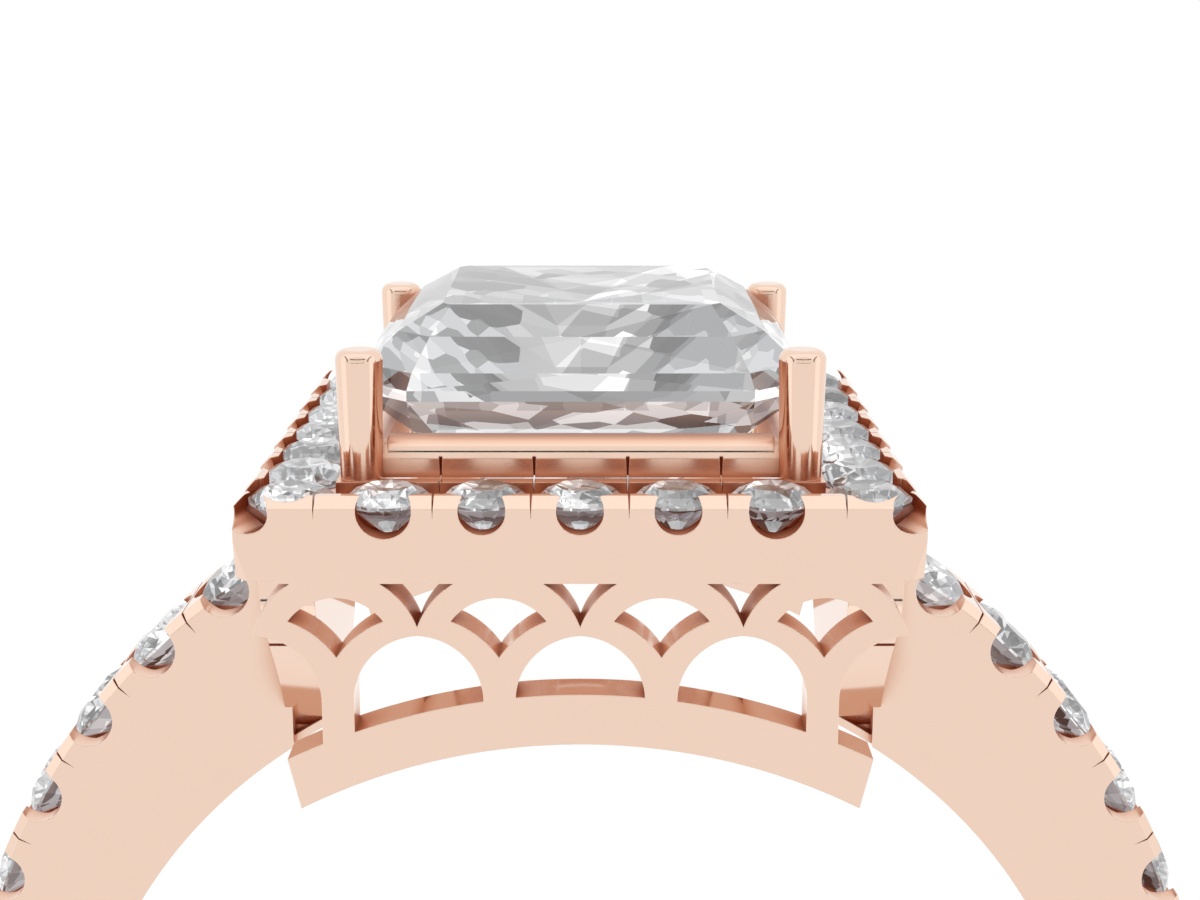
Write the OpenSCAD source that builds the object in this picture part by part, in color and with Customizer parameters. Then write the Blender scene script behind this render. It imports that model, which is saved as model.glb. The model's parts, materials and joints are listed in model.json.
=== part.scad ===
// Square halo engagement ring in rose gold: shank, pierced gallery, halo frame and
// prong basket cast and soldered as one mount, holding a radiant-cut centre stone,
// a square halo of small round stones and a row of round stones down each shoulder.
// Drawn upright round the finger axis (X right, Y along the finger, Z to the stone),
// then laid on its side on the surface Z = 0, where it rests on its bottom edge
// and on the two ends of the gallery's far base rail.

/* [Shank] */
// Radius of the finger hole
finger_r = 8.25; // [7.8:0.05:9]
// Width of the shank along the finger
shank_w = 2.0; // [1.8:0.1:2.4]
// Radius of the side outline, struck from a centre past the finger hole's centre
side_r = 10.78; // [10.6:0.02:11]
// How far each side arc's centre lies across the ring
side_cx = 0.75; // [0.6:0.05:0.9]
// How far each side arc's centre lies towards the stone
side_cz = 0.63; // [0.5:0.01:0.8]
// Thickness of the shank opposite the stone
bottom_t = 1.65; // [1.4:0.05:1.9]
// Bevel along both outer edges, measured outwards
shank_bevel = 0.15; // [0.1:0.01:0.2]
// The same bevel, measured along the finger
shank_bevel_w = 0.13; // [0.1:0.01:0.2]

/* [Shoulder stones] */
// Radius of a shoulder stone's girdle
shoulder_stone_r = 0.70; // [0.6:0.01:0.71]
// Number of stones on each shoulder
shoulder_n = 7; // [4:1:8]
// Angle of the first stone from the top, about the side arc's centre
shoulder_first = 35.5; // [35:0.1:36]
// Angle from one stone to the next
shoulder_pitch = 8.16; // [8.1:0.01:8.4]
// Depth of the girdles under the side outline
shoulder_girdle = 0.03; // [0:0.01:0.05]
// Radius of the scallop cut through both faces under each stone
shoulder_scallop_r = 0.41; // [0.36:0.01:0.43]

/* [Halo] */
// Half the outer width of the square halo frame
halo_half = 4.66; // [4.6:0.01:4.75]
// Half the width of the frame's inner opening
halo_in = 3.20; // [3.1:0.01:3.25]
// Height of the frame's underside over the finger axis
halo_bottom = 10.72; // [10.6:0.01:10.8]
// Height of the frame's flat top
halo_top = 11.87; // [11.8:0.01:11.9]
// Chamfer along the frame's outer top edge
halo_bevel = 0.14; // [0.05:0.01:0.15]
// Half the width inside which the frame's top is lowered to a ledge
halo_ledge = 3.42; // [3.4:0.01:3.45]
// Height of that ledge
halo_ledge_z = 11.78; // [11.7:0.01:11.8]
// Radius of a halo stone's girdle
halo_stone_r = 0.60; // [0.5:0.01:0.6]
// Number of halo stones along one side, both corners counted
halo_n = 7; // [5:2:7]
// Distance from one halo stone to the next
halo_pitch = 1.317; // [1.313:0.001:1.32]
// Height of the halo stones' girdles
halo_girdle = 11.68; // [11.6:0.01:11.7]
// Radius of the scallops cut through the outer wall beside each corner
halo_scallop_r = 0.375; // [0.33:0.005:0.38]
// Radius of the other scallops along a side
halo_inner_scallop_r = 0.32; // [0.3:0.01:0.34]
// Radius of the scallop cut through each corner
halo_corner_scallop_r = 0.26; // [0.22:0.01:0.28]

/* [Gallery] */
// Thickness of the two pierced plates
plate_t = 0.66; // [0.5:0.02:0.8]
// Distance from one scale to the next
scale_pitch = 2.21; // [2.18:0.01:2.24]
// Height of the upper scales' centres
scale_z = 9.68; // [9.6:0.01:9.75]
// Outer radius of an upper scale
scale_r = 1.17; // [1.12:0.01:1.2]
// Inner radius of an upper scale
scale_in_r = 0.80; // [0.75:0.01:0.85]
// Height of the lower arches' outer circles
arch_z = 8.91; // [8.85:0.01:8.95]
// Outer radius of a lower arch
arch_r = 1.32; // [1.28:0.01:1.35]
// Half the clear width of a lower arch
arch_half = 0.885; // [0.8:0.005:0.95]
// Inner radius of the plates' curved base rail
rail_in_r = 8.38; // [8.3:0.01:8.45]
// Outer radius of the base rail
rail_out_r = 9.10; // [9:0.01:9.2]

/* [Basket] */
// Distance of each prong's centre from the two middle planes
prong_at = 3.09; // [3.07:0.01:3.1]
// Prong radius at the halo
prong_low_r = 0.27; // [0.24:0.01:0.28]
// Prong radius at its tip
prong_tip_r = 0.335; // [0.3:0.005:0.34]
// Height of the prong tips
prong_top = 13.61; // [13.5:0.01:13.8]
// Height of the crest of the rails between the prongs
basket_top = 12.33; // [12.2:0.01:12.4]
// Thickness of those rails
basket_t = 0.38; // [0.36:0.02:0.4]
// Radius that rounds their outer top edge
basket_round = 0.30; // [0.2:0.01:0.32]

/* [Centre stone] */
// Half the width of the centre stone
centre_half = 3.24; // [3.2:0.01:3.25]
// Half the width of its table
centre_table = 2.00; // [1.9:0.01:2.05]
// Height of its table
centre_top = 14.06; // [14:0.01:14.2]
// Height of the upper edge of its girdle
centre_girdle = 13.04; // [13:0.01:13.06]
// Thickness of its girdle
centre_girdle_t = 0.15; // [0.1:0.01:0.16]
// Height of its culet
centre_culet = 10.15; // [10:0.05:10.4]

/* [Hidden] */
halo_ring = 4 * (halo_n - 1);
$fn = 96;

gold = "#eed1be";
diamond = "#e6ecee";
overlap = 0.2;          // how far cutters run past a face
seat_gap = 0.03;        // clearance between a stone and its seat
half_w = shank_w / 2;
row_at = halo_pitch * (halo_n - 1) / 2;
beyond = 20;            // past the whole ring, for cuts that take all of one side

// The lower part of the shank's outline is struck from just above the centre
bottom_cz = 0.1;
bottom_r = finger_r + bottom_t - shank_bevel + bottom_cz;
bottom_from = -3;

// Drilled holes under the stones, and the slits between them
shoulder_drill_r = 0.30;
shoulder_drill = 1.1;
halo_drill_r = 0.28;
halo_drill = 1.2;
shoulder_slit = [0.06, 0.36];
scallop_rise = 0.05;    // centre of a shoulder's scallop, over the side outline
halo_slit = [0.05, 0.28];
halo_last_slit = 3.57;  // the slit beside a corner, from the middle plane
channel_out = 4.40;     // the stones' channel runs from the ledge out to here
channel_z = 11.60;      // and down to this height

// The halo frame's corners lean in below this height
lean = 11.6;
lean_z = halo_bottom + 0.55;

// A corner's scallop runs through this point, turned from the finger's direction
corner_at = [4.42, 4.555, 11.64];
corner_turn = 23.5;

// The shoulders spread from the shank in two large side arcs, hollowed a little and
// turned back upright below the halo
shoulder_out = 4.64;
shoulder_in = 3.85;
band_from = 4.53;       // the shank's band starts here, a little inside the walls
ledge_t = 0.12;         // but runs on this thin round the finger hole, as a ledge to the walls
shoulder_half = 2.97;
neck_half = 0.72;
neck_z = [6, 8.2];
spread_from = 7;
spread_y = 10.56;
spread_z = 0.30;
spread_r = 12;
crown_r = 1.86;
crown_z = 10.46;
crown_from = 9.0;

// Each end of a base rail is cut along a line from low to high
rail_end_low = [3.86, 7.43];
rail_end_high = [4.03, 8.15];

// The strip that joins a plate's scales along the halo's underside
top_half = 4.1;

// Resting pose: tilted until the shank's bottom edge and the rail ends are level
rest_rail_y = halo_half;
rest_low_r = bottom_r - bottom_cz;
tilt = atan((rest_rail_y - half_w) / (rail_end_low[1] + rest_low_r));
rest_z = rest_low_r * sin(tilt) + half_w * cos(tilt);
far_y = centre_top * cos(tilt) + centre_table * sin(tilt);
near_y = -(rest_low_r + shank_bevel) * cos(tilt) - (half_w - shank_bevel_w) * sin(tilt);
rest_y = -(far_y + near_y) / 2;

// Lays what is drawn upright on its side, at rest on the surface
module at_rest() {
    translate([0, rest_y, rest_z]) rotate([tilt - 90, 0, 0]) children();
}

// An outline drawn in the XZ plane, made solid from y = from to y = to
module across(from, to) {
    translate([0, to, 0]) rotate([90, 0, 0]) linear_extrude(to - from) children();
}

// A disc round the Y axis, as wide as the shank, with both rims bevelled
module bevelled_disc(r) {
    rotate([90, 0, 0]) rotate_extrude() polygon([
        [0, -half_w], [r, -half_w], [r + shank_bevel, -half_w + shank_bevel_w],
        [r + shank_bevel, half_w - shank_bevel_w], [r, half_w], [0, half_w]]);
}

// Point at an angle from the top on the right side's arc, at a height over it
function side_point(angle, height) =
    [(side_r + height) * sin(angle) - side_cx, (side_r + height) * cos(angle) + side_cz];

function shoulder_angle(i) = shoulder_first + shoulder_pitch * (i - 1);

// The band round the finger, open at the top between the shoulders
module shank_band() {
    difference() {
        intersection() {
            translate([-side_cx, 0, side_cz]) bevelled_disc(side_r);
            translate([side_cx, 0, side_cz]) bevelled_disc(side_r);
        }
        difference() {
            translate([-beyond, -shank_w, -beyond])
                cube([2 * beyond, 2 * shank_w, beyond + bottom_from]);
            translate([0, 0, bottom_cz]) bevelled_disc(bottom_r);
        }
        difference() {
            translate([-band_from, -shank_w, 0]) cube([2 * band_from, 2 * shank_w, beyond]);
            rotate([90, 0, 0]) cylinder(r = finger_r + ledge_t, h = 2 * beyond, center = true);
        }
        translate([-shoulder_in, -shank_w, 0]) cube([2 * shoulder_in, 2 * shank_w, beyond]);
    }
}

// Outline of a shoulder's wall, seen along X, from the neck up into the halo
module shoulder_outline() {
    translate([-neck_half, neck_z[0]]) square([2 * neck_half, neck_z[1] - neck_z[0]]);
    difference() {
        translate([-shoulder_half, spread_from])
            square([2 * shoulder_half, crown_from - spread_from]);
        for (s = [-1, 1]) translate([s * spread_y, spread_z]) circle(r = spread_r);
    }
    for (s = [-1, 1]) intersection() {
        translate([s * (shoulder_half - crown_r), crown_z]) circle(r = crown_r);
        translate([-shoulder_half, 0]) square([2 * shoulder_half, crown_z]);
    }
    translate([-shoulder_half, crown_z])
        square([2 * shoulder_half, halo_bottom + overlap - crown_z]);
}

// One shoulder: a wall that spreads from the shank to the side of the halo
module shoulder_wall() {
    translate([shoulder_in, 0, 0]) rotate([90, 0, 90])
        linear_extrude(shoulder_out - shoulder_in) shoulder_outline();
}

// Seat of a round stone: a straight wall at the girdle, then a cone and a drilled hole
module seat(r, rise, drill_r, depth) {
    cone_h = r - drill_r;
    translate([0, 0, -seat_gap]) cylinder(r = r + seat_gap, h = rise + seat_gap);
    translate([0, 0, -seat_gap - cone_h])
        cylinder(r1 = drill_r, r2 = r + seat_gap, h = cone_h);
    translate([0, 0, -depth]) cylinder(r = drill_r, h = depth - seat_gap);
}

// A V-shaped slit of a width and depth, its tip down, running along Y from 0
module slit(size, length) {
    across(0, length) polygon([[-size[0] / 2, overlap], [0, -size[1]], [size[0] / 2, overlap]]);
}

// The cuts for the right shoulder's row of stones
module shoulder_cuts() {
    for (i = [1:shoulder_n]) {
        p = side_point(shoulder_angle(i), -shoulder_girdle);
        q = side_point(shoulder_angle(i), scallop_rise);
        translate([p[0], 0, p[1]]) rotate([0, shoulder_angle(i), 0])
            seat(shoulder_stone_r, shoulder_stone_r, shoulder_drill_r, shoulder_drill);
        translate([q[0], 0, q[1]]) rotate([90, 0, 0])
            cylinder(r = shoulder_scallop_r, h = 2 * shank_w, center = true);
    }
    for (i = [1:shoulder_n - 1]) {
        a = shoulder_angle(i + 0.5);
        p = side_point(a, shank_bevel);
        translate([p[0], -shank_w, p[1]]) rotate([0, a, 0]) slit(shoulder_slit, 2 * shank_w);
    }
}

// The square frame that carries the halo, before its seats are cut
module halo_frame() {
    high = halo_top - halo_bottom;
    difference() {
        translate([-halo_half, -halo_half, halo_bottom])
            cube([2 * halo_half, 2 * halo_half, high]);
        translate([-halo_in, -halo_in, halo_bottom - overlap])
            cube([2 * halo_in, 2 * halo_in, high + 2 * overlap]);
        translate([0, 0, channel_z]) difference() {
            translate([-channel_out, -channel_out, 0]) cube([2 * channel_out, 2 * channel_out, high]);
            translate([-halo_ledge, -halo_ledge, -1])
                cube([2 * halo_ledge, 2 * halo_ledge, 1 + halo_ledge_z - channel_z]);
        }
        for (a = [0:90:270]) rotate([0, 0, a]) {
            translate([0, -halo_half, halo_top - halo_bevel]) rotate([45, 0, 0])
                translate([-beyond / 2, -high / 2, 0]) cube([beyond, high, high]);
            rotate([0, 0, 45]) translate([0, -halo_half * sqrt(2), lean_z])
                rotate([lean, 0, 0]) translate([-high, -high, -high]) cube([2 * high, high, high]);
        }
    }
}

// Place of halo stone i on the square, counted from a front corner
function halo_place(i) = let (side = floor((i - 1) / (halo_n - 1)), k = (i - 1) % (halo_n - 1))
    [side, -row_at + k * halo_pitch];

// Size of the scallop at a distance from the middle plane, and place of a slit
function scallop_size(x) =
    abs(x) > row_at - 1.5 * halo_pitch ? halo_scallop_r : halo_inner_scallop_r;
function slit_at(x) = abs(x) > row_at - halo_pitch ? sign(x) * halo_last_slit : x;

// The cuts for the halo's stones: seats, scallops through the wall and slits between
module halo_cuts() {
    for (i = [1:halo_ring]) {
        place = halo_place(i);
        rotate([0, 0, 90 * place[0]]) {
            translate([place[1], -row_at, halo_girdle]) {
                seat(halo_stone_r, halo_stone_r, halo_drill_r, halo_drill);
                if (place[1] > -row_at) rotate([90, 0, 0])
                    cylinder(r = scallop_size(place[1]), h = 2 * halo_stone_r);
            }
            translate([slit_at(place[1] + halo_pitch / 2), -halo_half - overlap, halo_top])
                slit(halo_slit, halo_half - halo_in + 2 * overlap);
        }
    }
    for (sx = [0, 1], sy = [0, 1]) mirror([sx, 0, 0]) mirror([0, sy, 0])
        translate([-corner_at[0], -corner_at[1], corner_at[2]]) rotate([90, 0, -corner_turn])
            translate([0, 0, -halo_stone_r]) cylinder(r = halo_corner_scallop_r, h = 2 * halo_stone_r);
}

// Outline of a pierced plate: upper scales with fans, lower arches and the base rail
module plate_outline() {
    scales = [-1.5, -0.5, 0.5, 1.5] * scale_pitch;
    arches = [-2, -1, 0, 1, 2] * scale_pitch;
    point = 0.05;
    foot = rail_in_r;
    difference() {
        union() {
            for (x = scales) translate([x, scale_z]) circle(r = scale_r);
            translate([-2 * scale_pitch, foot]) square([4 * scale_pitch, scale_z - foot]);
            translate([-top_half, halo_bottom - 0.04]) square([2 * top_half, 0.3]);
        }
        for (x = scales) difference() {
            translate([x, scale_z]) circle(r = scale_in_r);
            for (s = [-0.5, 0.5]) translate([x + s * scale_pitch, arch_z]) circle(r = arch_r);
        }
        for (x = arches) translate([x, arch_z + 0.1]) {
            intersection_for (s = [-1, 1]) translate([s * point, 0]) circle(r = arch_half + point);
            translate([-arch_half, -foot]) square([2 * arch_half, foot]);
        }
    }
    difference() {
        intersection() {
            circle(r = rail_out_r);
            polygon([[-rail_end_low[0], rail_end_low[1]], [0, 0], rail_end_low, rail_end_high,
                [rail_end_high[0], rail_out_r], [-rail_end_high[0], rail_out_r],
                [-rail_end_high[0], rail_end_high[1]]]);
        }
        circle(r = rail_in_r);
    }
}

// A prong: slim at the halo, thicker at its tip, with a softly rounded end
module prong() {
    soft = 0.15;
    foot = halo_bottom + 0.05;
    translate([0, 0, foot])
        cylinder(r1 = prong_low_r, r2 = prong_tip_r, h = prong_top - soft - foot);
    translate([0, 0, prong_top - soft]) rotate_extrude() intersection() {
        union() {
            square([prong_tip_r - soft, soft]);
            translate([prong_tip_r - soft, 0]) circle(r = soft);
        }
        square([prong_tip_r + soft, soft + overlap]);
    }
}

// Cross-section of a basket rail, its outer face on the left, its crest rounded over
module rail_section() {
    foot = halo_top - 0.1;
    round_z = basket_top - basket_round;
    translate([0, foot]) square([basket_t, round_z - foot]);
    intersection() {
        translate([basket_round, round_z]) circle(r = basket_round);
        translate([0, round_z]) square(basket_round);
    }
    translate([basket_round, foot]) square([basket_t - basket_round, basket_top - foot]);
}

// The four prongs and the rails between them
module basket() {
    rail_face = prong_at + 0.01;
    for (a = [0:90:270]) rotate([0, 0, a]) {
        translate([prong_at, prong_at, 0]) prong();
        rotate([90, 0, 90]) translate([-rail_face, 0, -prong_at])
            linear_extrude(2 * prong_at) rail_section();
    }
}

// All the gold: one soldered and polished piece
module mount() {
    color(gold) at_rest() difference() {
        union() {
            shank_band();
            for (s = [0, 1]) mirror([s, 0, 0]) shoulder_wall();
            halo_frame();
            for (s = [0, 1]) mirror([0, s, 0])
                across(-halo_half, -halo_half + plate_t) plate_outline();
            basket();
        }
        rotate([90, 0, 0]) cylinder(r = finger_r, h = beyond, center = true);
        for (s = [0, 1]) mirror([s, 0, 0]) shoulder_cuts();
        halo_cuts();
    }
}

// A ring of n points of radius r at height z, turned by an angle
function ring_points(n, r, z, turn) =
    [for (k = [0:n - 1]) [r * cos(360 * k / n + turn), r * sin(360 * k / n + turn), z]];

// A cut stone: the convex solid round all its facets' corners
module cut_stone(points) {
    hull() polyhedron(points, [for (k = [0:len(points) - 3]) [k, k + 1, k + 2]]);
}

// A round brilliant about its girdle, r in radius. Each pair is a ring's radius and
// height: table, kites, girdle top and bottom, pavilion; the last height is the culet's
module brilliant(r) {
    cut_stone(r * concat(
        ring_points(8, 0.56, 0.32, 0),
        ring_points(8, 0.81, 0.20, 22.5),
        ring_points(16, 1, 0.03, 0),
        ring_points(16, 1, -0.03, 0),
        ring_points(8, 0.24, -0.70, 22.5),
        [[0, 0, -0.86]]));
}

// Halo stone number i in its seat
module halo_stone(i) {
    place = halo_place(i);
    color(diamond) at_rest() rotate([0, 0, 90 * place[0]])
        translate([place[1], -row_at, halo_girdle]) brilliant(halo_stone_r);
}

// Stone number i of the shoulder on side s, 1 for right and -1 for left
module shoulder_stone(i, s) {
    p = side_point(shoulder_angle(i), -shoulder_girdle);
    color(diamond) at_rest() translate([s * p[0], 0, p[1]])
        rotate([0, s * shoulder_angle(i), 0]) brilliant(shoulder_stone_r);
}

// Points at height z on each side of a square, half wide, at the given offsets along it
function on_sides(half, offsets, z) = [for (a = [0:90:270], y = offsets)
    [half * cos(a) - y * sin(a), half * sin(a) + y * cos(a), z]];

// Eight corners of a square with cropped corners, half wide and cut back by crop
function cropped_square(half, crop, z) = on_sides(half, [crop - half, half - crop], z);

// The centre stone: a square radiant, its corners cropped to clear the prongs, with a
// crown of two steps, each a low roof, and a pavilion of triangles that clears the rails
module centre_stone() {
    low = centre_girdle - centre_girdle_t;
    crop = 2 * centre_half - sqrt(2) * (sqrt(2) * prong_at - prong_tip_r - seat_gap);
    upper = 0.81 * centre_half;
    lower = 0.955 * centre_half;
    waist = prong_at - basket_t - 0.065;
    waist_z = basket_top - 0.03;
    depth = waist_z - centre_culet;
    color(diamond) at_rest() cut_stone(concat(
        cropped_square(centre_table, 0.16 * crop, centre_top),
        cropped_square(upper, 0.6 * crop, centre_top - 0.36),
        on_sides(upper + 0.025, [0], centre_top - 0.36),
        cropped_square(lower, 0.9 * crop, centre_top - 0.795),
        on_sides(lower + 0.02, [0], centre_top - 0.795),
        cropped_square(centre_half, crop, centre_girdle),
        cropped_square(centre_half, crop, low),
        on_sides(waist, [-0.5, 0.5] * waist, waist_z),
        ring_points(4, 1.30 * waist, waist_z, 45),
        on_sides(0.665 * waist, [-0.24, 0.24] * waist, waist_z - 0.36 * depth),
        ring_points(4, 0.915 * waist, waist_z - 0.36 * depth, 45),
        ring_points(8, 0.375 * waist, waist_z - 0.70 * depth, 22.5),
        [[0, 0, centre_culet]]));
}

mount();
centre_stone();
for (i = [1:halo_ring])
    halo_stone(i);
for (i = [1:shoulder_n]) {
    shoulder_stone(i, -1);
    shoulder_stone(i, 1);
}
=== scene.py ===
import json
import math

import bpy
from mathutils import Matrix, Vector


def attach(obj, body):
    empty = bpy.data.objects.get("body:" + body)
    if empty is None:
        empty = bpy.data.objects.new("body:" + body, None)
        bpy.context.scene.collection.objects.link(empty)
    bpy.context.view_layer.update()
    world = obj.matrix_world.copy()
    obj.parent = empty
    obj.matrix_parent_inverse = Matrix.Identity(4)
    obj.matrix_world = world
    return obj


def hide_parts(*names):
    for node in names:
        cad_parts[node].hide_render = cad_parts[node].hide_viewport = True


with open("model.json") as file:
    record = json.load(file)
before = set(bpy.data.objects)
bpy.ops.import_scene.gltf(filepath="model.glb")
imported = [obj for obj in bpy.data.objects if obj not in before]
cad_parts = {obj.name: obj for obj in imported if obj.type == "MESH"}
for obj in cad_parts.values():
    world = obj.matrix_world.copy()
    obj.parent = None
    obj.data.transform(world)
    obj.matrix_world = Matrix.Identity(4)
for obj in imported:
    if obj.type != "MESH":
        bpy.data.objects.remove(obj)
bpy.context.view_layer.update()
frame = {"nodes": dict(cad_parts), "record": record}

# ---------------------------------------------------------------- the shank
# The band that goes round the finger. It is cast in rose gold, filed to two
# large side arcs and a rounder bottom, and polished with a bevel on both rims.

# Everything in gold is made upright, in millimetres, with X to the right, Y
# along the finger away from the viewer and Z up to the stone
finger_r = 8.25
shank_w = 2.0
side_r = 10.78
side_cx = 0.75
side_cz = 0.63
rim_bevel = 0.14
bottom_t = 1.65
bottom_cz = 0.1
bottom_r = finger_r + bottom_t - rim_bevel + bottom_cz
bottom_from = -3.0

# The band stops on each side of the gallery and runs on as a thin ledge round
# the finger hole to the feet of the shoulder walls
band_from = 4.53
band_end = 3.85
ledge_t = 0.12
ledge_half = 0.85

# Longer than the ring, a hair, and how many sides a round has by its size
well_clear = 30.0
hair = 0.01
tiny_round = 64
small_round = 128
large_round = 256
bore_round = 512


def clear_selection():
    bpy.ops.object.select_all(action="DESELECT")


def named(name):
    piece = bpy.context.active_object
    piece.name = piece.data.name = name
    return piece


def block(name, low, high):
    """A box between two corners."""
    clear_selection()
    middle = [(a + b) / 2 for a, b in zip(low, high)]
    bpy.ops.mesh.primitive_cube_add(size=1, location=middle)
    piece = named(name)
    piece.scale = [b - a for a, b in zip(low, high)]
    bpy.ops.object.transform_apply(location=True, rotation=True, scale=True)
    return piece


def rod(name, radius, start, end, steps):
    """A round bar from one point to another."""
    clear_selection()
    start, end = Vector(start), Vector(end)
    run = end - start
    bpy.ops.mesh.primitive_cylinder_add(
        vertices=steps, radius=radius, depth=run.length, location=(start + end) / 2,
        rotation=run.to_track_quat("Z", "Y").to_euler())
    piece = named(name)
    bpy.ops.object.transform_apply(location=True, rotation=True, scale=True)
    return piece


def bevel_edges(piece, wanted, width, steps=1):
    """Bevels the edges that a test on their two ends picks."""
    clear_selection()
    piece.select_set(True)
    bpy.context.view_layer.objects.active = piece
    points = piece.data.vertices
    bpy.ops.object.mode_set(mode="EDIT")
    bpy.ops.mesh.select_mode(type="EDGE")
    bpy.ops.mesh.select_all(action="DESELECT")
    bpy.ops.object.mode_set(mode="OBJECT")
    for edge in piece.data.edges:
        a, b = (points[i].co for i in edge.vertices)
        edge.select = wanted(a, b)
    bpy.ops.object.mode_set(mode="EDIT")
    bpy.ops.mesh.bevel(offset=width, segments=steps, affect="EDGES")
    bpy.ops.object.mode_set(mode="OBJECT")


def combine(piece, others, how):
    """Joins, cuts or intersects a piece with others, which are used up."""
    clear_selection()
    piece.select_set(True)
    bpy.context.view_layer.objects.active = piece
    tools = bpy.data.collections.new("tools")
    for other in others:
        tools.objects.link(other)
    bpy.ops.object.modifier_add(type="BOOLEAN")
    step = piece.modifiers[-1]
    step.operation = how
    step.solver = "EXACT"
    step.operand_type = "COLLECTION"
    step.collection = tools
    bpy.ops.object.modifier_apply(modifier=step.name)
    for other in others:
        bpy.data.objects.remove(other)
    bpy.data.collections.remove(tools)


def side_disc(x, z, radius):
    """A disc as wide as the shank, with both rims bevelled."""
    disc = rod("disc", radius, (x, shank_w / 2, z), (x, -shank_w / 2, z), large_round)
    bevel_edges(disc, lambda a, b: a.y * b.y > 0, rim_bevel)
    return disc


shank = side_disc(-side_cx, side_cz, side_r + rim_bevel)
combine(shank, [side_disc(side_cx, side_cz, side_r + rim_bevel)], "INTERSECT")
below = block("below", (-well_clear, -well_clear, -well_clear),
              (well_clear, well_clear, bottom_from))
combine(below, [side_disc(0, bottom_cz, bottom_r + rim_bevel)], "DIFFERENCE")
between = block("between", (-band_from, -shank_w, 0), (band_from, shank_w, well_clear))
thin = rod("ledge", finger_r + ledge_t, (0, ledge_half, 0), (0, -ledge_half, 0), large_round)
combine(between, [thin], "DIFFERENCE")
open_top = block("foot", (-band_end, -shank_w, 0), (band_end, shank_w, well_clear))
combine(shank, [below, between, open_top], "DIFFERENCE")

# ------------------------------------------------------------ the shoulders
# Two cast walls that carry on from the shank and spread in large side arcs to
# nearly two thirds of the halo's side, soldered to the shank and under the halo.

shoulder_out = 4.64
shoulder_in = band_end
shoulder_half = 2.97
wall_from = 7.0
neck_half = 0.72
neck_from = 6.0
neck_to = 8.2
spread_y = 10.56
spread_z = 0.30
spread_r = 12.0
crown_r = 1.86
crown_z = 10.46
crown_from = 9.0
halo_bottom = 10.72
into_halo = 0.2


def shoulder(side):
    """The wall on one side, from the neck at the shank up into the halo."""
    low, high = sorted((side * shoulder_in, side * shoulder_out))
    wall = block("shoulder", (low, -shoulder_half, wall_from), (high, shoulder_half, crown_from))
    arcs = [rod("arc", spread_r, (low - 1, y, spread_z), (high + 1, y, spread_z), large_round)
            for y in (-spread_y, spread_y)]
    combine(wall, arcs, "DIFFERENCE")
    crowns = [rod("crown", crown_r, (low, y, crown_z), (high, y, crown_z), large_round)
              for y in (crown_r - shoulder_half, shoulder_half - crown_r)]
    for crown in crowns:
        above = block("above", (low - 1, -well_clear, crown_z),
                      (high + 1, well_clear, well_clear))
        combine(crown, [above], "DIFFERENCE")
    top = block("top", (low, -shoulder_half, crown_z),
                (high, shoulder_half, halo_bottom + into_halo))
    neck = block("neck", (low, -neck_half, neck_from), (high, neck_half, neck_to))
    combine(wall, [neck, top] + crowns, "UNION")
    return wall


shoulders = [shoulder(-1), shoulder(1)]

# -------------------------------------------------------------- the gallery
# A pierced plate under the front and the back of the halo: four round scales
# with a fan-shaped opening in each, pointed arches below them, and a base
# rail that follows the finger hole. Each is sawn from sheet and soldered in.

halo_half = 4.66
plate_t = 0.66
scale_pitch = 2.21
scale_z = 9.68
scale_r = 1.17
scale_in_r = 0.80
arch_z = 8.91
arch_r = 1.32
arch_half = 0.885
arch_point = 0.05
arch_spring = 0.1
arch_foot = 6
rail_in_r = 8.38
rail_out_r = 9.10
rail_end_low = (3.86, 7.43)
rail_end_high = (4.03, 8.15)
rail_cut = 5
top_half = 4.1
top_low = 0.04
top_high = 0.26
past = 0.5


def bar_through(name, radius, x, z):
    """A round bar as long as the front plate is thick."""
    return rod(name, radius, (x, -halo_half + plate_t, z), (x, -halo_half, z), small_round)


def cutter_through(radius, x, z):
    """A round bar that passes the front plate on both sides."""
    return rod("cutter", radius, (x, -halo_half + plate_t + past, z),
               (x, -halo_half - past, z), small_round)


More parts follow.
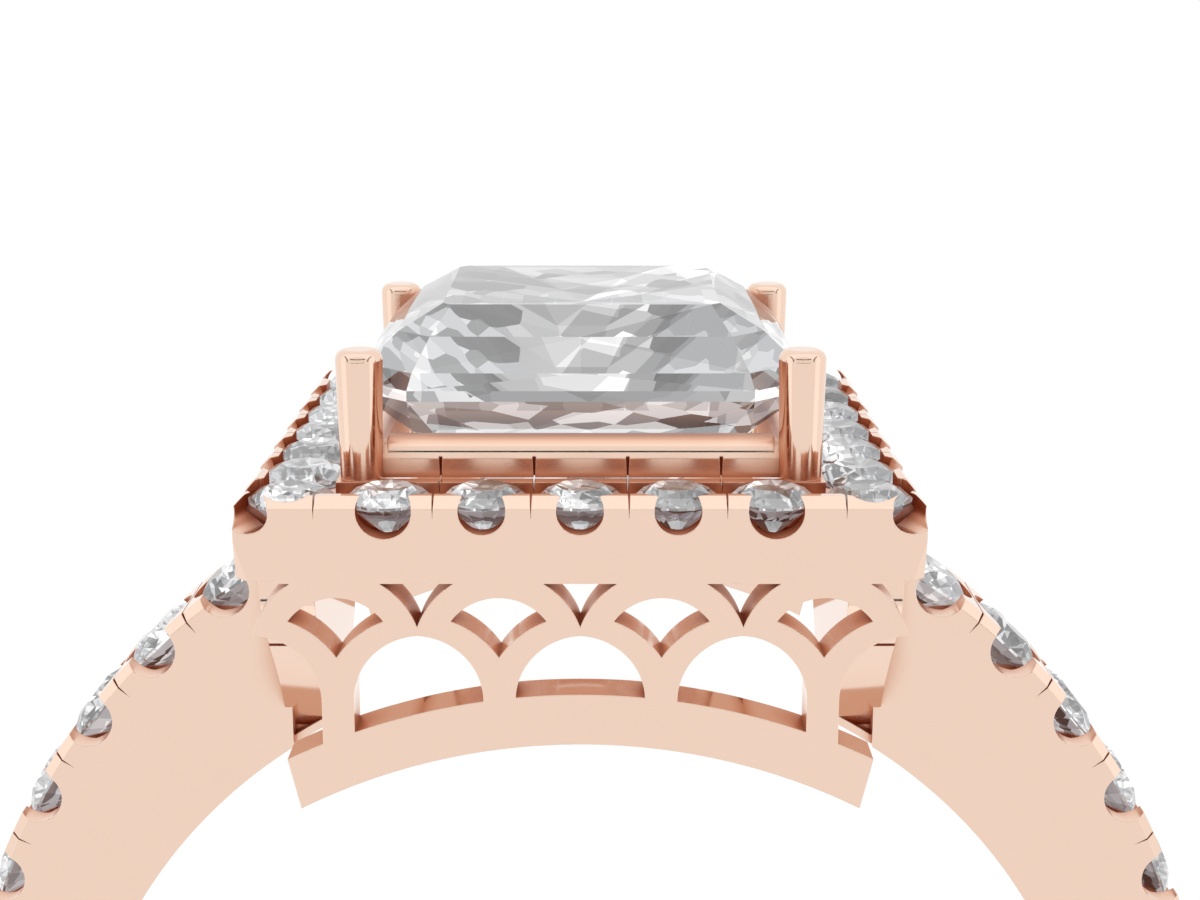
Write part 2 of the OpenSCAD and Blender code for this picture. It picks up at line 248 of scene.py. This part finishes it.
def gallery_plate():
    """The front plate, with its scales, arches and base rail."""
    front, back = -halo_half, -halo_half + plate_t
    scales = [scale_pitch * k for k in (-1.5, -0.5, 0.5, 1.5)]
    plate = block("gallery", (-2 * scale_pitch, front, rail_in_r),
                  (2 * scale_pitch, back, scale_z))
    combine(plate, [bar_through("scale", scale_r, x, scale_z) for x in scales], "UNION")
    top = block("top", (-top_half, front, halo_bottom - top_low),
                (top_half, back, halo_bottom + top_high))
    combine(plate, [top], "UNION")
    fans = []
    for x in scales:
        fan = cutter_through(scale_in_r, x, scale_z)
        combine(fan, [cutter_through(arch_r, x + s * scale_pitch / 2, arch_z) for s in (-1, 1)],
                "DIFFERENCE")
        fans.append(fan)
    arches = []
    for k in range(-2, 3):
        x = k * scale_pitch
        arch = cutter_through(arch_half + arch_point, x - arch_point, arch_z + arch_spring)
        other = cutter_through(arch_half + arch_point, x + arch_point, arch_z + arch_spring)
        combine(arch, [other], "INTERSECT")
        foot = block("foot", (x - arch_half, front - past, arch_foot),
                     (x + arch_half, back + past, arch_z + arch_spring))
        arches += [arch, foot]
    combine(plate, fans, "DIFFERENCE")
    combine(plate, arches, "DIFFERENCE")

    # The base rail: a bar bent round the finger hole, its ends sawn at a slant
    rail = rod("rail", rail_out_r, (0, back, 0), (0, front, 0), bore_round)
    inner = rod("inner", rail_in_r, (0, back + 1, 0), (0, front - 1, 0), bore_round)
    combine(rail, [inner], "DIFFERENCE")
    clear_selection()
    rail.select_set(True)
    bpy.context.view_layer.objects.active = rail
    bpy.ops.object.mode_set(mode="EDIT")
    slant = Vector((rail_end_high[0] - rail_end_low[0], 0, rail_end_high[1] - rail_end_low[1]))
    for side in (-1, 1):
        bpy.ops.mesh.select_all(action="SELECT")
        bpy.ops.mesh.bisect(
            plane_co=(side * rail_end_low[0], 0, rail_end_low[1]),
            plane_no=(side * slant.z, 0, -slant.x), use_fill=True, clear_outer=True)
    bpy.ops.mesh.select_all(action="SELECT")
    bpy.ops.mesh.bisect(plane_co=(0, 0, rail_cut), plane_no=(0, 0, -1),
                        use_fill=True, clear_outer=True)
    bpy.ops.object.mode_set(mode="OBJECT")
    combine(plate, [rail], "UNION")
    return plate


def turned_copy(piece, turns):
    """A copy turned by quarter turns about the vertical."""
    clear_selection()
    piece.select_set(True)
    bpy.context.view_layer.objects.active = piece
    bpy.ops.object.duplicate()
    copy = bpy.context.active_object
    copy.rotation_euler = (0, 0, turns * math.pi / 2)
    bpy.ops.object.transform_apply(location=True, rotation=True, scale=True)
    return copy


front_plate = gallery_plate()
plates = [front_plate, turned_copy(front_plate, 2)]

# ----------------------------------------------------------- the halo frame
# A square frame of cast gold. The small stones sit in a channel between its
# outer rim, chamfered along the outer top edge, and a slightly lower ledge.
# Its lower corners lean in, and the shoulder walls are soldered under it.

halo_in = 3.20
halo_top = 11.87
halo_bevel = 0.15
ledge = 3.42
ledge_z = 11.78
channel_out = 4.40
channel_z = 11.60
lean = math.radians(11.6)
lean_z = halo_bottom + 0.55

halo = block("halo", (-halo_half, -halo_half, halo_bottom), (halo_half, halo_half, halo_top))
bevel_edges(halo, lambda a, b: min(a.z, b.z) > halo_top - hair, halo_bevel)
bpy.ops.object.mode_set(mode="EDIT")
for quarter in range(4):
    out = Matrix.Rotation(math.pi / 4 + quarter * math.pi / 2, 3, "Z") @ Vector((1, 0, 0))
    bpy.ops.mesh.select_all(action="SELECT")
    bpy.ops.mesh.bisect(
        plane_co=out * halo_half * math.sqrt(2) + Vector((0, 0, lean_z)),
        plane_no=out * math.cos(lean) - Vector((0, 0, math.sin(lean))),
        use_fill=True, clear_outer=True)
bpy.ops.object.mode_set(mode="OBJECT")
channel = block("channel", (-channel_out, -channel_out, channel_z),
                (channel_out, channel_out, halo_top + 1))
combine(channel, [block("ledge", (-ledge, -ledge, channel_z - 1), (ledge, ledge, ledge_z))],
        "DIFFERENCE")
combine(halo, [channel], "DIFFERENCE")
combine(halo, [block("opening", (-halo_in, -halo_in, halo_bottom - 1),
                     (halo_in, halo_in, halo_top + 1))], "DIFFERENCE")

# --------------------------------------------------------------- the basket
# Four gold prongs, a little thicker at the tip and soldered into the halo, hold
# the centre stone by its cropped corners. Rails with a rounded outer edge are
# soldered between the prongs, just clear of the halo's inner edge.

prong_at = 3.09
prong_low_r = 0.27
prong_tip_r = 0.335
prong_top = 13.61
prong_soft = 0.15
prong_steps = 6
prong_up = 0.05
basket_top = 12.33
basket_t = 0.38
basket_proud = 0.01
basket_sunk = 0.1
basket_round = 0.30
basket_steps = 12


def prong():
    """The prong at the right back corner, its tip's rim rounded."""
    foot = halo_bottom + prong_up
    clear_selection()
    bpy.ops.mesh.primitive_cone_add(
        vertices=tiny_round, radius1=prong_low_r, radius2=prong_tip_r, depth=prong_top - foot,
        location=(prong_at, prong_at, (prong_top + foot) / 2))
    piece = named("prong")
    bpy.ops.object.transform_apply(location=True, rotation=True, scale=True)
    bevel_edges(piece, lambda a, b: min(a.z, b.z) > prong_top - hair, prong_soft, prong_steps)
    return piece


def basket_rail():
    """The rail along the front, its outer top edge rounded."""
    face = -prong_at - basket_proud
    rail = block("basket_rail", (-prong_at, face, halo_top - basket_sunk),
                 (prong_at, face + basket_t, basket_top))
    bevel_edges(rail, lambda a, b: min(a.z, b.z) > basket_top - hair
                and max(a.y, b.y) < face + hair, basket_round, basket_steps)
    return rail


basket = []
for part in (prong(), basket_rail()):
    basket += [part] + [turned_copy(part, k) for k in (1, 2, 3)]

# ------------------------------------------------------- soldering and setting
# The cast and sawn parts are soldered into one, reamed to the finger size,
# and drilled for the stones: a bearing, a cone and a hole under each, a
# scallop through the wall at each, and a saw slit between each two.

stone_gap = 0.03
halo_stone_r = 0.60
halo_n = 7
halo_pitch = 1.317
halo_girdle = 11.68
halo_scallops = (0.375, 0.32)
corner_scallop_r = 0.26
corner_at = Vector((-4.42, -4.555, 11.64))
corner_turn = math.radians(23.5)
corner_run = 0.6
scallop_run = 1.2
last_slit = 3.57
slit_in = 0.02
shoulder_stone_r = 0.70
shoulder_n = 7
shoulder_first = math.radians(35.5)
shoulder_pitch = math.radians(8.16)
shoulder_girdle = -0.03
scallop_rise = 0.05
shoulder_scallop_r = 0.41
shoulder_scallop_half = 2
saw_over = 0.2
saw_tip = 0.02


def burr(r, drill_r, depth, wall):
    """The shape that a seat takes away, its girdle at the origin."""
    cone = r - drill_r
    clear_selection()
    bpy.ops.mesh.primitive_circle_add(
        vertices=tiny_round, radius=drill_r, fill_type="NGON", location=(0, 0, -depth))
    piece = named("burr")
    bpy.ops.object.transform_apply(location=True, rotation=True, scale=True)
    bpy.ops.object.mode_set(mode="EDIT")
    bpy.ops.mesh.select_all(action="SELECT")
    wide = (r + stone_gap) / drill_r
    for rise, grow in ((depth - wall - cone, 1), (cone, wide), (r + wall, 1)):
        bpy.ops.mesh.extrude_region_move(TRANSFORM_OT_translate={"value": (0, 0, rise)})
        bpy.ops.transform.resize(value=(grow, grow, 1), center_override=(0, 0, 0))
    bpy.ops.mesh.select_all(action="SELECT")
    bpy.ops.mesh.normals_make_consistent(inside=False)
    bpy.ops.object.mode_set(mode="OBJECT")
    return piece


def saw(width, depth, length):
    """A V-shaped slit's tool, its tip down, running along Y through the origin."""
    clear_selection()
    bpy.ops.mesh.primitive_cube_add(size=1)
    piece = named("saw")
    piece.scale = (width, length, depth + saw_over)
    piece.location = (0, 0, (saw_over - depth) / 2)
    bpy.ops.object.transform_apply(location=True, rotation=True, scale=True)
    points = piece.data.vertices
    bpy.ops.object.mode_set(mode="EDIT")
    bpy.ops.mesh.select_mode(type="VERT")
    bpy.ops.mesh.select_all(action="DESELECT")
    bpy.ops.object.mode_set(mode="OBJECT")
    for point in points:
        point.select = point.co.z < 0
    bpy.ops.object.mode_set(mode="EDIT")
    bpy.ops.transform.resize(value=(saw_tip, 1, 1), center_override=(0, 0, 0))
    bpy.ops.object.mode_set(mode="OBJECT")
    return piece


def put(tool, place):
    """A copy of a tool, put in place by a matrix."""
    clear_selection()
    tool.select_set(True)
    bpy.context.view_layer.objects.active = tool
    bpy.ops.object.duplicate()
    copy = bpy.context.active_object
    copy.matrix_world = place
    bpy.ops.object.transform_apply(location=True, rotation=True, scale=True)
    return copy


def on_side(side, angle, rise):
    """X and Z of a point on a shoulder's side arc, raised over it."""
    reach = side_r + rise
    return (side * (reach * math.sin(angle) - side_cx),
            reach * math.cos(angle) + side_cz)


mount = shank
mount.name = mount.data.name = "gold_mount"
combine(mount, shoulders + plates + [halo] + basket, "UNION")
combine(mount, [rod("reamer", finger_r, (0, 8, 0), (0, -8, 0), bore_round)], "DIFFERENCE")

halo_burr = burr(halo_stone_r, drill_r=0.28, depth=1.0, wall=0.12)
halo_saw = saw(width=0.05, depth=0.28, length=2.0)
row_at = halo_pitch * (halo_n - 1) / 2
tools = []
for quarter in range(4):
    turn = Matrix.Rotation(quarter * math.pi / 2, 4, "Z")
    for k in range(halo_n - 1):
        x = -row_at + k * halo_pitch
        at = turn @ Matrix.Translation((x, -row_at, halo_girdle))
        tools.append(put(halo_burr, at))
        start = at.translation
        if k:
            size = halo_scallops[0 if k in (1, halo_n - 2) else 1]
            end = start + turn @ Vector((0, -scallop_run, 0))
            tools.append(rod("scallop", size, start, end, tiny_round))
        x += halo_pitch / 2
        if abs(x) > row_at - halo_pitch:
            x = math.copysign(last_slit, x)
        at = turn @ Matrix.Translation((x, -row_at - slit_in, halo_top))
        tools.append(put(halo_saw, at))
for a in (-1, 1):
    for b in (-1, 1):
        run = Vector((a * math.sin(corner_turn), b * math.cos(corner_turn), 0)) * corner_run
        middle = Vector((a * abs(corner_at.x), b * abs(corner_at.y), corner_at.z))
        tools.append(rod("scallop", corner_scallop_r, middle - run, middle + run, tiny_round))
combine(mount, tools, "DIFFERENCE")
bpy.data.objects.remove(halo_burr)
bpy.data.objects.remove(halo_saw)

shoulder_burr = burr(shoulder_stone_r, drill_r=0.3, depth=1.1, wall=0.22)
shoulder_saw = saw(width=0.06, depth=0.36, length=3.0)
tools = []
for side in (-1, 1):
    for k in range(shoulder_n):
        angle = shoulder_first + k * shoulder_pitch
        x, z = on_side(side, angle, shoulder_girdle)
        tools.append(put(shoulder_burr, Matrix.Translation((x, 0, z))
                         @ Matrix.Rotation(side * angle, 4, "Y")))
        x, z = on_side(side, angle, scallop_rise)
        tools.append(rod("scallop", shoulder_scallop_r, (x, shoulder_scallop_half, z),
                         (x, -shoulder_scallop_half, z), tiny_round))
        if k < shoulder_n - 1:
            angle += shoulder_pitch / 2
            x, z = on_side(side, angle, rim_bevel)
            tools.append(put(shoulder_saw, Matrix.Translation((x, 0, z))
                             @ Matrix.Rotation(side * angle, 4, "Y")))
combine(mount, tools, "DIFFERENCE")
bpy.data.objects.remove(shoulder_burr)
bpy.data.objects.remove(shoulder_saw)

# Polished smooth, but for the edges that a file leaves
clear_selection()
mount.select_set(True)
bpy.context.view_layer.objects.active = mount
bpy.ops.object.shade_smooth_by_angle(angle=math.radians(25))
bpy.ops.object.modifier_add(type="WEIGHTED_NORMAL")
mount.modifiers[-1].keep_sharp = True
mount.modifiers[-1].weight = 100
bpy.ops.object.modifier_apply(modifier=mount.modifiers[-1].name)

# The ring lies on its side, as the finger bore in the record says
bore = frame["record"]["mounts"][0]
bore_at = Vector(bore["pos_m"])
viewer = Vector(bore["axis"])
upright = Vector((0, viewer.z, -viewer.y))
millimetre = 0.001
lie_down = Matrix.Translation(bore_at) @ Matrix(
    ((1, 0, 0), (0, -viewer.y, upright.y), (0, -viewer.z, upright.z))).to_4x4() \
    @ Matrix.Scale(millimetre, 4)
mount.matrix_world = lie_down
bpy.ops.object.transform_apply(location=True, rotation=True, scale=True)

# Polished rose gold, with the faint unevenness that a polishing wheel leaves. Nooks
# get a painted shade, darker and redder by an occlusion node, and what the wheel
# can't reach is a little duller.
gold_low, gold_high = (0.850, 0.630, 0.505, 1), (0.865, 0.650, 0.525, 1)
painted_nook_shade_deep, painted_nook_shade_half = (0.26, 0.08, 0.035, 1), (0.84, 0.62, 0.52, 1)
# Painted reflections, given off as light: the gold's tone when seen in gold, and its grey when
# seen in a stone
painted_gold_in_gold = (0.70, 0.44, 0.33, 1)
painted_grey_in_stone = (0.72, 0.73, 0.75, 1)
gold = bpy.data.materials.new("polished_rose_gold")
gold.use_nodes = True
nodes, links = gold.node_tree.nodes, gold.node_tree.links
skin = nodes["Principled BSDF"]
skin.inputs["Metallic"].default_value = 1.0
where = nodes.new("ShaderNodeTexCoord")
cloud = nodes.new("ShaderNodeTexNoise")
cloud.inputs["Scale"].default_value = 900
cloud.inputs["Detail"].default_value = 3
links.new(where.outputs["Object"], cloud.inputs["Vector"])
tone = nodes.new("ShaderNodeValToRGB")
tone.color_ramp.elements[0].color = gold_low
tone.color_ramp.elements[1].color = gold_high
links.new(cloud.outputs["Fac"], tone.inputs["Fac"])
# Painted shade: the occlusion ramp darkens the gold to a red brown in nooks, between parts and
# next to the stones
nook = nodes.new("ShaderNodeAmbientOcclusion")
nook.samples = 12
nook.inputs["Distance"].default_value = 0.6 * millimetre
shade = nodes.new("ShaderNodeValToRGB")
shade.color_ramp.elements[0].position = 0.15
shade.color_ramp.elements[0].color = painted_nook_shade_deep
shade.color_ramp.elements[1].position = 0.9
shade.color_ramp.elements[1].color = (1, 1, 1, 1)
shade.color_ramp.elements.new(0.55).color = painted_nook_shade_half
links.new(nook.outputs["AO"], shade.inputs["Fac"])
# The gold's tone multiplied by the painted shade
tone_under_painted_shade = nodes.new("ShaderNodeMix")
tone_under_painted_shade.data_type = "RGBA"
tone_under_painted_shade.blend_type = "MULTIPLY"
tone_under_painted_shade.inputs["Factor"].default_value = 1.0
links.new(tone.outputs["Color"], tone_under_painted_shade.inputs["A"])
links.new(shade.outputs["Color"], tone_under_painted_shade.inputs["B"])
links.new(tone_under_painted_shade.outputs["Result"], skin.inputs["Base Color"])
wear = nodes.new("ShaderNodeMapRange")
wear.inputs["To Min"].default_value = 0.03
wear.inputs["To Max"].default_value = 0.07
links.new(cloud.outputs["Fac"], wear.inputs["Value"])
dull = nodes.new("ShaderNodeMapRange")
dull.inputs["From Min"].default_value = 0.6
dull.inputs["From Max"].default_value = 0.97
dull.inputs["To Min"].default_value = 0.25
dull.inputs["To Max"].default_value = 0.0
links.new(nook.outputs["AO"], dull.inputs["Value"])
rough = nodes.new("ShaderNodeMath")
rough.operation = "ADD"
links.new(wear.outputs["Result"], rough.inputs[0])
links.new(dull.outputs["Result"], rough.inputs[1])
links.new(rough.outputs["Value"], skin.inputs["Roughness"])
edge = nodes.new("ShaderNodeBevel")
edge.samples = 6
edge.inputs["Radius"].default_value = 0.022 * millimetre
wave = nodes.new("ShaderNodeBump")
wave.inputs["Strength"].default_value = 0.01
wave.inputs["Distance"].default_value = 0.002 * millimetre
links.new(cloud.outputs["Fac"], wave.inputs["Height"])
links.new(edge.outputs["Normal"], wave.inputs["Normal"])
links.new(wave.outputs["Normal"], skin.inputs["Normal"])

# Only in rays that come by way of another surface, a painted reflection that the
# gold gives off as light: gold seen in gold one plain tone, with the painted nook
# shade in it, and gold seen by way of a stone a pale grey. This is not how gold
# reflects; it evens out the reflections of reflections.
ray = nodes.new("ShaderNodeLightPath")
again = nodes.new("ShaderNodeMath")
again.operation = "GREATER_THAN"
again.inputs[1].default_value = 0.5
links.new(ray.outputs["Glossy Depth"], again.inputs[0])
inside = nodes.new("ShaderNodeMath")
inside.operation = "GREATER_THAN"
inside.inputs[1].default_value = 0.5
links.new(ray.outputs["Transmission Depth"], inside.inputs[0])
mirrored = nodes.new("ShaderNodeMix")
mirrored.data_type = "RGBA"
mirrored.blend_type = "MULTIPLY"
mirrored.inputs["Factor"].default_value = 1.0
mirrored.inputs["A"].default_value = painted_gold_in_gold
links.new(shade.outputs["Color"], mirrored.inputs["B"])
seen = nodes.new("ShaderNodeMix")
seen.data_type = "RGBA"
seen.inputs["B"].default_value = painted_grey_in_stone
links.new(inside.outputs["Value"], seen.inputs["Factor"])
links.new(mirrored.outputs["Result"], seen.inputs["A"])
glow = nodes.new("ShaderNodeEmission")
links.new(seen.outputs["Result"], glow.inputs["Color"])
shown = nodes.new("ShaderNodeMixShader")
links.new(again.outputs["Value"], shown.inputs["Fac"])
links.new(skin.outputs["BSDF"], shown.inputs[1])
links.new(glow.outputs["Emission"], shown.inputs[2])
links.new(shown.outputs["Shader"], nodes["Material Output"].inputs["Surface"])
mount.data.materials.clear()
mount.data.materials.append(gold)

# Hidden from rays that pass through a stone, so that stones show the tent
mount.visible_transmission = False

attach(mount, "root")
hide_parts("mount")

# --------------------------------------------------------------- the stones
# Colourless diamonds, cut and polished: the square radiant in the basket, the
# round brilliants round the halo and down the shoulders, each set in its seat.
# The CAD's own meshes are kept, and each family gets its material here.

stone_ior = 2.42
stone_gloss = 0.25
# Painted reflections in the stones: a grey for some facets, and dark and grey cells seen inside
painted_facet_grey = (0.5, 0.5, 0.51, 1)
outer_mirror = 0.08
painted_cell_levels = ((0.10, 0.28), (0.25, 0.55), (0.50, 0.80))
painted_cell_dark = (0.05, 0.05, 0.05, 1)


def diamond(name, pieces):
    """A clear stone with painted reflections. Each facet has a painted tone of its own by
    the way it faces, and for rays inside the stone it is a mirror broken into cells of
    painted dark and grey tones, so many to a metre."""
    stone = bpy.data.materials.new(name)
    stone.use_nodes = True
    nodes, links = stone.node_tree.nodes, stone.node_tree.links
    skin = nodes["Principled BSDF"]
    skin.inputs["Transmission Weight"].default_value = 1.0
    skin.inputs["IOR"].default_value = stone_ior
    skin.inputs["Roughness"].default_value = 0.0
    skin.inputs["Specular IOR Level"].default_value = stone_gloss
    facet = nodes.new("ShaderNodeNewGeometry")
    step = nodes.new("ShaderNodeVectorMath")
    step.operation = "SNAP"
    step.inputs[1].default_value = (0.02, 0.02, 0.02)
    links.new(facet.outputs["True Normal"], step.inputs[0])
    chance = nodes.new("ShaderNodeTexWhiteNoise")
    links.new(step.outputs["Vector"], chance.inputs["Vector"])
    # Painted reflection: a grey to white tone per facet, by the way it faces
    tone = nodes.new("ShaderNodeValToRGB")
    tone.color_ramp.elements[0].position = 0.25
    tone.color_ramp.elements[0].color = painted_facet_grey
    tone.color_ramp.elements[1].position = 0.75
    links.new(chance.outputs["Value"], tone.inputs["Fac"])
    where = nodes.new("ShaderNodeTexCoord")
    broken = nodes.new("ShaderNodeTexVoronoi")
    broken.inputs["Scale"].default_value = pieces
    links.new(where.outputs["Object"], broken.inputs["Vector"])
    part = nodes.new("ShaderNodeSeparateColor")
    links.new(broken.outputs["Color"], part.inputs["Color"])
    # Painted reflection: dark and grey cells, only for rays inside the stone
    shade = nodes.new("ShaderNodeValToRGB")
    shade.color_ramp.interpolation = "CONSTANT"
    shade.color_ramp.elements[0].color = painted_cell_dark
    shade.color_ramp.elements[1].position = 0.70
    for place, level in painted_cell_levels:
        shade.color_ramp.elements.new(place).color = (level, level, level, 1)
    links.new(part.outputs["Red"], shade.inputs["Fac"])
    path = nodes.new("ShaderNodeLightPath")
    inside = nodes.new("ShaderNodeMath")
    inside.operation = "GREATER_THAN"
    inside.inputs[1].default_value = 0.5
    links.new(path.outputs["Transmission Depth"], inside.inputs[0])
    both = nodes.new("ShaderNodeMix")
    both.data_type = "RGBA"
    both.blend_type = "MULTIPLY"
    links.new(inside.outputs["Value"], both.inputs["Factor"])
    links.new(tone.outputs["Color"], both.inputs["A"])
    links.new(shade.outputs["Color"], both.inputs["B"])
    links.new(both.outputs["Result"], skin.inputs["Base Color"])
    mirror = nodes.new("ShaderNodeMapRange")
    mirror.inputs["To Min"].default_value = outer_mirror
    links.new(inside.outputs["Value"], mirror.inputs["Value"])
    links.new(mirror.outputs["Result"], skin.inputs["Metallic"])
    return stone


finishes = {"centre_stone": diamond("centre_diamond", 1500),
            "halo_stone": diamond("halo_diamond", 3200),
            "left_stone": diamond("shoulder_diamond", 2800)}
finishes["right_stone"] = finishes["left_stone"]

# Stones are hidden from mirror rays, so that polished gold shows the tent
for name, node in frame["nodes"].items():
    for family, finish in finishes.items():
        if name.startswith(family):
            for slot in node.material_slots:
                slot.material = finish
            node.visible_glossy = False

# ------------------------------------------------- the light table and camera
# The ring lies on a white light table under a large white tent. Four dark
# flags across the front of the tent and a dark post on each side draw the dark
# lines in the polished gold. The camera sees plain white behind the ring.

clear_selection()
bpy.ops.mesh.primitive_plane_add(size=2, location=(0, 0, 0))
table = named("light_table")
white = bpy.data.materials.new("lit_white")
white.use_nodes = True
nodes, links = white.node_tree.nodes, white.node_tree.links
skin = nodes["Principled BSDF"]
skin.inputs["Base Color"].default_value = (0.14, 0.14, 0.14, 1)
skin.inputs["Roughness"].default_value = 1.0
skin.inputs["Specular IOR Level"].default_value = 0.0
skin.inputs["Emission Color"].default_value = (1, 1, 1, 1)
skin.inputs["Emission Strength"].default_value = 0.92
table.data.materials.append(white)

# Hidden from rays that pass through a stone, as the gold is
table.visible_transmission = False

scene = bpy.context.scene
world = scene.world or bpy.data.worlds.new("tent")
scene.world = world
world.use_nodes = True
nodes, links = world.node_tree.nodes, world.node_tree.links
nodes.clear()
where = nodes.new("ShaderNodeTexCoord")
ray = nodes.new("ShaderNodeLightPath")


def along(direction):
    """How far a line of sight runs in a direction, from -1 to 1."""
    node = nodes.new("ShaderNodeVectorMath")
    node.operation = "DOT_PRODUCT"
    node.inputs[1].default_value = direction
    links.new(where.outputs["Generated"], node.inputs[0])
    return node.outputs["Value"]


def reckon(how, a, b):
    """One sum on a value and a number or another value."""
    node = nodes.new("ShaderNodeMath")
    node.operation = how
    links.new(a, node.inputs[0])
    if isinstance(b, float):
        node.inputs[1].default_value = b
    else:
        links.new(b, node.inputs[1])
    return node.outputs["Value"]


def light(colour):
    """Light of a colour, or of a node's value."""
    node = nodes.new("ShaderNodeBackground")
    if isinstance(colour, tuple):
        node.inputs["Color"].default_value = (*colour, 1)
    else:
        links.new(colour, node.inputs["Color"])
    return node.outputs["Background"]


def choose(factor, a, b):
    """The first light where the factor is 0, and the second where it is 1."""
    node = nodes.new("ShaderNodeMixShader")
    links.new(factor, node.inputs["Fac"])
    links.new(a, node.inputs[1])
    links.new(b, node.inputs[2])
    return node.outputs["Shader"]


# White all round, brighter to the sides and behind, but for flags and posts.
# Each flag is given by its height and half its width, from -1 below to 1 above.
flag_rows = ((-0.956, 0.010), (-0.788, 0.010), (-0.113, 0.026), (0.50, 0.055))
flag_soft = 1.3
flag_reach = 0.55
post_at = 0.76
post_half = 0.03
post_foot = 0.05
front_from = 0.5
behind_more = 0.2
spread = nodes.new("ShaderNodeMapRange")
spread.inputs["From Min"].default_value = -1
spread.inputs["From Max"].default_value = 1
links.new(along(upright), spread.inputs["Value"])
flags = nodes.new("ShaderNodeValToRGB")
ramp = flags.color_ramp
ramp.elements[0].color = ramp.elements[1].color = (1, 1, 1, 1)
for height, half in flag_rows:
    for offset, level in ((-flag_soft * half, 1), (-half, 0), (half, 0), (flag_soft * half, 1)):
        stop = ramp.elements.new((height + offset + 1) / 2)
        stop.color = (level, level, level, 1)
links.new(spread.outputs["Result"], flags.inputs["Fac"])
aside = reckon("ABSOLUTE", along((1, 0, 0)), 0.0)
front = along(viewer)
across = reckon("MAXIMUM", flags.outputs["Color"], reckon("GREATER_THAN", aside, flag_reach))
post = reckon("ABSOLUTE", reckon("SUBTRACT", aside, post_at), 0.0)
post = reckon("GREATER_THAN", post, post_half)
post = reckon("MAXIMUM", post, reckon("LESS_THAN", along(upright), post_foot))
hung = reckon("MAXIMUM", reckon("MULTIPLY", across, post), reckon("LESS_THAN", front, 0.0))
more = reckon("MULTIPLY", reckon("LESS_THAN", front, front_from), behind_more)
tent = reckon("MULTIPLY", hung, reckon("ADD", more, 1.0))

# What sparkles in the stones: white cards with grey between them
cards = nodes.new("ShaderNodeTexNoise")
cards.inputs["Scale"].default_value = 2.6
cards.inputs["Detail"].default_value = 1.0
links.new(where.outputs["Generated"], cards.inputs["Vector"])
bright = nodes.new("ShaderNodeValToRGB")
bright.color_ramp.elements[0].position = 0.40
bright.color_ramp.elements[0].color = (0.35, 0.35, 0.36, 1)
bright.color_ramp.elements[1].position = 0.50
bright.color_ramp.elements[1].color = (1.6, 1.6, 1.6, 1)
links.new(cards.outputs["Fac"], bright.inputs["Fac"])

in_stone = reckon("GREATER_THAN", ray.outputs["Transmission Depth"], 0.5)
lit = choose(in_stone, light(tent), light(bright.outputs["Color"]))
sky = nodes.new("ShaderNodeOutputWorld")
links.new(choose(ray.outputs["Is Camera Ray"], lit, light((1, 1, 1))), sky.inputs["Surface"])

# The camera stands where the photograph's stood, solved from the ring's edges
eye_out = 30.691 * millimetre
eye_up = 18.643 * millimetre
eye_down = 0.2305
eye_right = 0.268 * millimetre
focal = 60.48
forward = -math.cos(eye_down) * viewer - math.sin(eye_down) * upright
over = -math.sin(eye_down) * viewer + math.cos(eye_down) * upright
lens = bpy.data.cameras.new("camera")
camera = bpy.data.objects.new("camera", lens)
scene.collection.objects.link(camera)
facing = Matrix((Vector((1, 0, 0)), over, -forward)).transposed().to_4x4()
camera.matrix_world = Matrix.Translation(
    bore_at + eye_out * viewer + eye_up * upright + Vector((eye_right, 0, 0))) @ facing
lens.sensor_width = 36
lens.lens = focal
lens.clip_start = millimetre
lens.clip_end = 10
scene.camera = camera
scene.view_settings.view_transform = "Standard"
scene.cycles.max_bounces = 24
scene.cycles.transmission_bounces = 24
scene.cycles.glossy_bounces = 16
